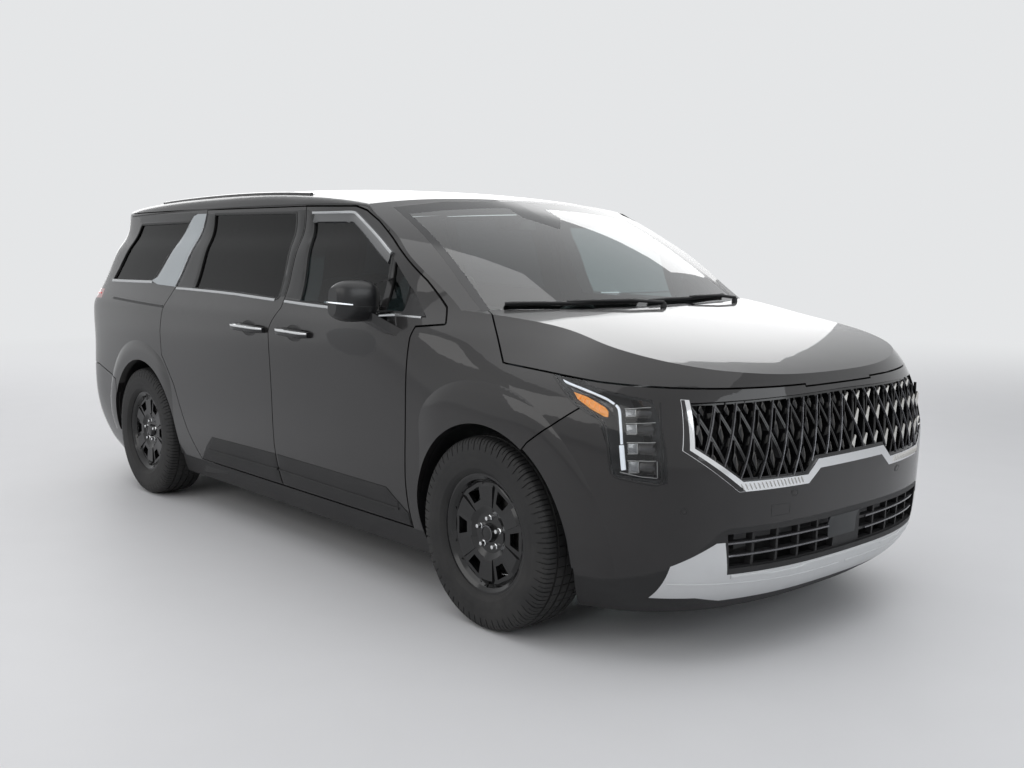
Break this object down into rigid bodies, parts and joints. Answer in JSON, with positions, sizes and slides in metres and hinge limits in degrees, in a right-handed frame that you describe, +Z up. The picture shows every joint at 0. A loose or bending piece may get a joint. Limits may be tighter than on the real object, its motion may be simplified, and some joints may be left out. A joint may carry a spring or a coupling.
{
  "type": "minivan",
  "caption": "Large family minivan with opening front doors, bonnet and tailgate, steered front wheels and a seated hollow cabin.",
  "frame": {"origin": "on the ground under the middle of the body", "axes": "+X forward, +Y to the vehicle's left, +Z up"},
  "size_m": [5.1551, 2.324, 1.7404],
  "materials": {
    "body_paint": "metallic gloss",
    "black_gloss": "gloss",
    "black_plastic": "grained",
    "bright_trim": "polished",
    "silver_paint": "satin",
    "tinted_glass": "polished",
    "clear_glass": "polished",
    "lamp_lens": "polished",
    "red_lens": "gloss",
    "tyre": "matte",
    "underbody": "coated",
    "cast_metal": "as cast",
    "steel": "dull",
    "seat_cover": "grained",
    "cabin_trim": "grained"
  },
  "bodies": {
    "body": {"bulkhead": "underbody", "bumper_trim": "black_plastic", "cowl": "black_plastic", "dashboard": "cabin_trim", "engine_block": "cast_metal", "exhaust_silencer": "steel", "fender_left": "body_paint", "fender_right": "body_paint", "floor_pan": "underbody", "front_bumper": "body_paint", "front_frame": "cast_metal", "front_seats": "seat_cover", "fuel_tank": "black_plastic", "grille": "black_gloss", "grille_frame": "bright_trim", "headlamp_housings": "black_plastic", "headlamps": "lamp_lens", "lower_grille": "black_plastic", "middle_seats": "seat_cover", "quarter_panel_left": "body_paint", "quarter_panel_right": "body_paint", "radiator": "cast_metal", "rear_axle": "cast_metal", "rear_bumper": "body_paint", "rear_seat": "seat_cover", "roof": "body_paint", "side_glass": "tinted_glass", "sills": "black_plastic", "skid_plate": "silver_paint", "sliding_door_left": "body_paint", "sliding_door_right": "body_paint", "steering_wheel": "cabin_trim", "tail_lamps": "red_lens", "windscreen": "clear_glass"},
    "front_door_left": {"front_door_left": "body_paint", "front_door_glass_left": "tinted_glass"},
    "front_door_right": {"front_door_right": "body_paint", "front_door_glass_right": "tinted_glass"},
    "bonnet": {"bonnet": "body_paint"},
    "tailgate": {"tailgate": "body_paint", "tailgate_glass": "tinted_glass", "tailgate_lamp": "red_lens"},
    "knuckle_left": {"knuckle_left": "cast_metal"},
    "knuckle_right": {"knuckle_right": "cast_metal"},
    "wheel_front_left": {"front_wheel_left": "black_gloss", "front_tyre_left": "tyre"},
    "wheel_front_right": {"front_wheel_right": "black_gloss", "front_tyre_right": "tyre"},
    "wheel_rear_left": {"rear_wheel_left": "black_gloss", "rear_tyre_left": "tyre"},
    "wheel_rear_right": {"rear_wheel_right": "black_gloss", "rear_tyre_right": "tyre"}
  },
  "joints": [
    {"name": "steer_left", "type": "hinge", "parent": "body", "child": "knuckle_left", "pos_m": [1.638, 0.8, 0.235], "axis": [0, -0.23, 0.9732], "range_deg": [-35, 35]},
    {"name": "steer_right", "type": "hinge", "parent": "body", "child": "knuckle_right", "pos_m": [1.638, -0.8, 0.235], "axis": [0, 0.23, 0.9732], "range_deg": [-35, 35]},
    {"name": "spin_front_left", "type": "hinge", "parent": "knuckle_left", "child": "wheel_front_left", "pos_m": [1.638, 0.871, 0.368], "axis": [0, 1, 0], "continuous": true},
    {"name": "spin_front_right", "type": "hinge", "parent": "knuckle_right", "child": "wheel_front_right", "pos_m": [1.638, -0.871, 0.368], "axis": [0, 1, 0], "continuous": true},
    {"name": "spin_rear_left", "type": "hinge", "parent": "body", "child": "wheel_rear_left", "pos_m": [-1.452, 0.871, 0.368], "axis": [0, 1, 0], "continuous": true},
    {"name": "spin_rear_right", "type": "hinge", "parent": "body", "child": "wheel_rear_right", "pos_m": [-1.452, -0.871, 0.368], "axis": [0, 1, 0], "continuous": true},
    {"name": "front_door_left", "type": "hinge", "parent": "body", "child": "front_door_left", "pos_m": [1.095, 0.978, 0.75], "axis": [0, 0, -1], "range_deg": [0, 68]},
    {"name": "front_door_right", "type": "hinge", "parent": "body", "child": "front_door_right", "pos_m": [1.095, -0.978, 0.75], "axis": [0, 0, 1], "range_deg": [0, 68]},
    {"name": "bonnet_hinge", "type": "hinge", "parent": "body", "child": "bonnet", "pos_m": [1.394, 0, 1.184], "axis": [0, -1, 0], "range_deg": [0, 50]},
    {"name": "tailgate_hinge", "type": "hinge", "parent": "body", "child": "tailgate", "pos_m": [-2.185, 0, 1.668], "axis": [0, 1, 0], "range_deg": [0, 84]}
  ],
  "couplings": [
    {"joint": "steer_right", "follows": "steer_left", "ratio": 1}
  ]
}
